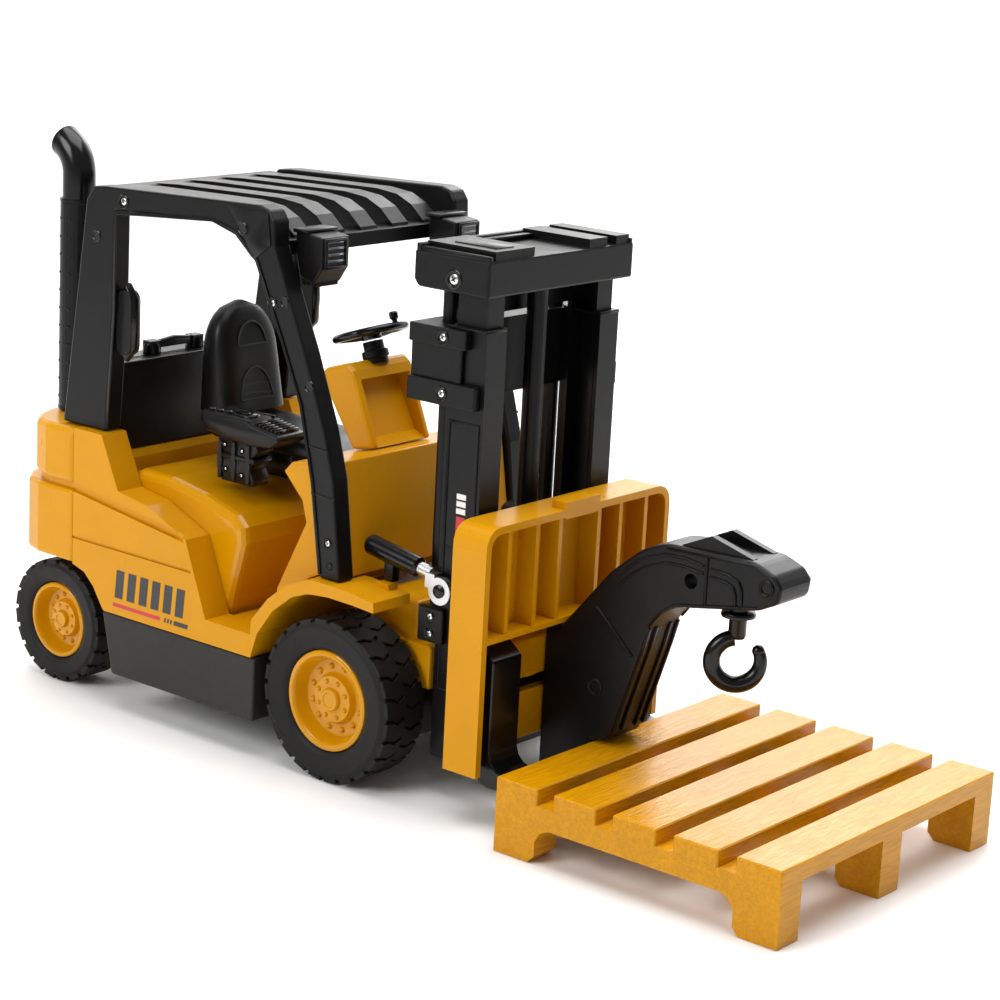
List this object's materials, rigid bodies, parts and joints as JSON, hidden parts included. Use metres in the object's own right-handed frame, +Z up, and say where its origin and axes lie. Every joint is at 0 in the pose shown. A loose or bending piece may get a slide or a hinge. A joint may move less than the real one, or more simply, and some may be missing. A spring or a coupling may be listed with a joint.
{
  "type": "toy forklift truck",
  "caption": "Remote-control style toy forklift with overhead guard, tilting two-stage mast, forks, crane jib with swivel hook and a loose slatted pallet.",
  "frame": {"origin": "centre of the bounding box footprint, on the ground under the tyres", "axes": "+X towards the forks (direction of travel), +Y to the truck's left, +Z up"},
  "size_m": [0.5639, 0.1982, 0.3263],
  "materials": {
    "yellow_plastic": "glossy chrome yellow",
    "pallet_plastic": "glossy amber, moulded wood grain",
    "grey_plastic": "matt charcoal grey",
    "black_plastic": "satin black, fine grain",
    "tyre_rubber": "matt black rubber",
    "steel": "plain steel",
    "brass": "plain brass",
    "board_green": "green lacquered board"
  },
  "bodies": {
    "truck": {"chassis_pan": "grey_plastic", "nose_block": "yellow_plastic", "body_shell": "yellow_plastic", "counterweight": "yellow_plastic", "seat_hood": "yellow_plastic", "front_cowl": "yellow_plastic", "dash_pod": "yellow_plastic", "guard_side_right": "black_plastic", "guard_side_left": "black_plastic", "roof_grille": "black_plastic", "rear_bulkhead": "black_plastic", "work_light_right": "black_plastic", "work_light_left": "black_plastic", "seat_back": "black_plastic", "seat_cushion": "black_plastic", "control_console": "black_plastic", "muffler": "black_plastic", "exhaust_pipe": "black_plastic", "steering_column": "black_plastic", "drive_motor": "steel", "steer_beam": "grey_plastic", "battery_pack": "black_plastic", "battery_cover": "grey_plastic", "circuit_board": "board_green", "tilt_barrel_right": "black_plastic", "tilt_barrel_left": "black_plastic"},
    "drive_axle": {"front_axle": "steel", "front_tyre_right": "tyre_rubber", "front_tyre_left": "tyre_rubber", "front_rim_right": "yellow_plastic", "front_rim_left": "yellow_plastic", "drive_gear": "brass"},
    "pinion": {"motor_pinion": "brass"},
    "steer_knuckle_right": {"knuckle_right": "steel"},
    "steer_knuckle_left": {"knuckle_left": "steel"},
    "rear_wheel_right": {"rear_tyre_right": "tyre_rubber", "rear_rim_right": "yellow_plastic"},
    "rear_wheel_left": {"rear_tyre_left": "tyre_rubber", "rear_rim_left": "yellow_plastic"},
    "steer_link": {"tie_rod": "steel"},
    "hand_wheel": {"steering_wheel": "black_plastic"},
    "mast": {"outer_rail_right": "black_plastic", "outer_rail_left": "black_plastic", "mast_crosshead": "black_plastic", "mast_foot": "black_plastic", "lift_cylinder": "steel"},
    "mast_stage": {"inner_mast": "black_plastic", "top_plate": "black_plastic", "lift_rod_right": "black_plastic", "lift_rod_left": "black_plastic", "lift_ram": "black_plastic"},
    "load_carriage": {"carriage": "yellow_plastic", "load_backrest": "yellow_plastic", "fork_right": "black_plastic", "fork_left": "black_plastic", "crane_jib": "black_plastic"},
    "hook": {"crane_hook": "black_plastic"},
    "tilt_piston_right": {"tilt_rod_right": "steel"},
    "tilt_piston_left": {"tilt_rod_left": "steel"},
    "load_pallet": {"pallet": "pallet_plastic"}
  },
  "joints": [
    {"name": "axle_spin", "type": "hinge", "parent": "truck", "child": "drive_axle", "pos_m": [-0.0173, -0.0075, 0.0452], "axis": [0, 1, 0], "continuous": true},
    {"name": "pinion_spin", "type": "hinge", "parent": "truck", "child": "pinion", "pos_m": [-0.0365, -0.0075, 0.0452], "axis": [0, 1, 0], "continuous": true},
    {"name": "steer_right", "type": "hinge", "parent": "truck", "child": "steer_knuckle_right", "pos_m": [-0.2427, -0.0475, 0.0365], "axis": [0, 0, 1], "range_deg": [-20, 20]},
    {"name": "steer_left", "type": "hinge", "parent": "truck", "child": "steer_knuckle_left", "pos_m": [-0.2427, 0.0325, 0.0365], "axis": [0, 0, 1], "range_deg": [-20, 20]},
    {"name": "steer_link_slide", "type": "slide", "parent": "truck", "child": "steer_link", "axis": [0, 1, 0], "range_m": [-0.0058, 0.0058]},
    {"name": "rear_spin_right", "type": "hinge", "parent": "steer_knuckle_right", "child": "rear_wheel_right", "pos_m": [-0.2427, -0.0675, 0.0365], "axis": [0, 1, 0], "continuous": true},
    {"name": "rear_spin_left", "type": "hinge", "parent": "steer_knuckle_left", "child": "rear_wheel_left", "pos_m": [-0.2427, 0.0525, 0.0365], "axis": [0, 1, 0], "continuous": true},
    {"name": "hand_wheel_spin", "type": "hinge", "parent": "truck", "child": "hand_wheel", "pos_m": [-0.069, -0.0075, 0.228], "axis": [-0.342, 0, 0.9397], "continuous": true},
    {"name": "mast_tilt", "type": "hinge", "parent": "truck", "child": "mast", "pos_m": [0.03, -0.0075, 0.045], "axis": [0, 1, 0], "range_deg": [-6, 0]},
    {"name": "tilt_slide_right", "type": "slide", "parent": "truck", "child": "tilt_piston_right", "axis": [0.9866, 0, -0.163], "range_m": [-0.0076, 0]},
    {"name": "tilt_slide_left", "type": "slide", "parent": "truck", "child": "tilt_piston_left", "axis": [0.9866, 0, -0.163], "range_m": [-0.0076, 0]},
    {"name": "stage_lift", "type": "slide", "parent": "mast", "child": "mast_stage", "axis": [0, 0, 1], "range_m": [0, 0.1]},
    {"name": "carriage_lift", "type": "slide", "parent": "mast_stage", "child": "load_carriage", "axis": [0, 0, 1], "range_m": [0, 0.1]},
    {"name": "hook_swivel", "type": "hinge", "parent": "load_carriage", "child": "hook", "pos_m": [0.1865, -0.0075, 0.12], "axis": [0, 0, 1], "continuous": true},
    {"name": "pallet_slide", "type": "slide", "parent": "load_carriage", "child": "load_pallet", "axis": [1, 0, 0], "range_m": [0, 0.12]}
  ],
  "couplings": [
    {"joint": "pinion_spin", "follows": "axle_spin", "ratio": -3},
    {"joint": "steer_left", "follows": "steer_right", "ratio": 1},
    {"joint": "steer_link_slide", "follows": "steer_right", "m_per_rad": -0.016},
    {"joint": "tilt_slide_right", "follows": "mast_tilt", "m_per_rad": 0.07137},
    {"joint": "tilt_slide_left", "follows": "mast_tilt", "m_per_rad": 0.07137},
    {"joint": "carriage_lift", "follows": "stage_lift", "ratio": 1}
  ]
}
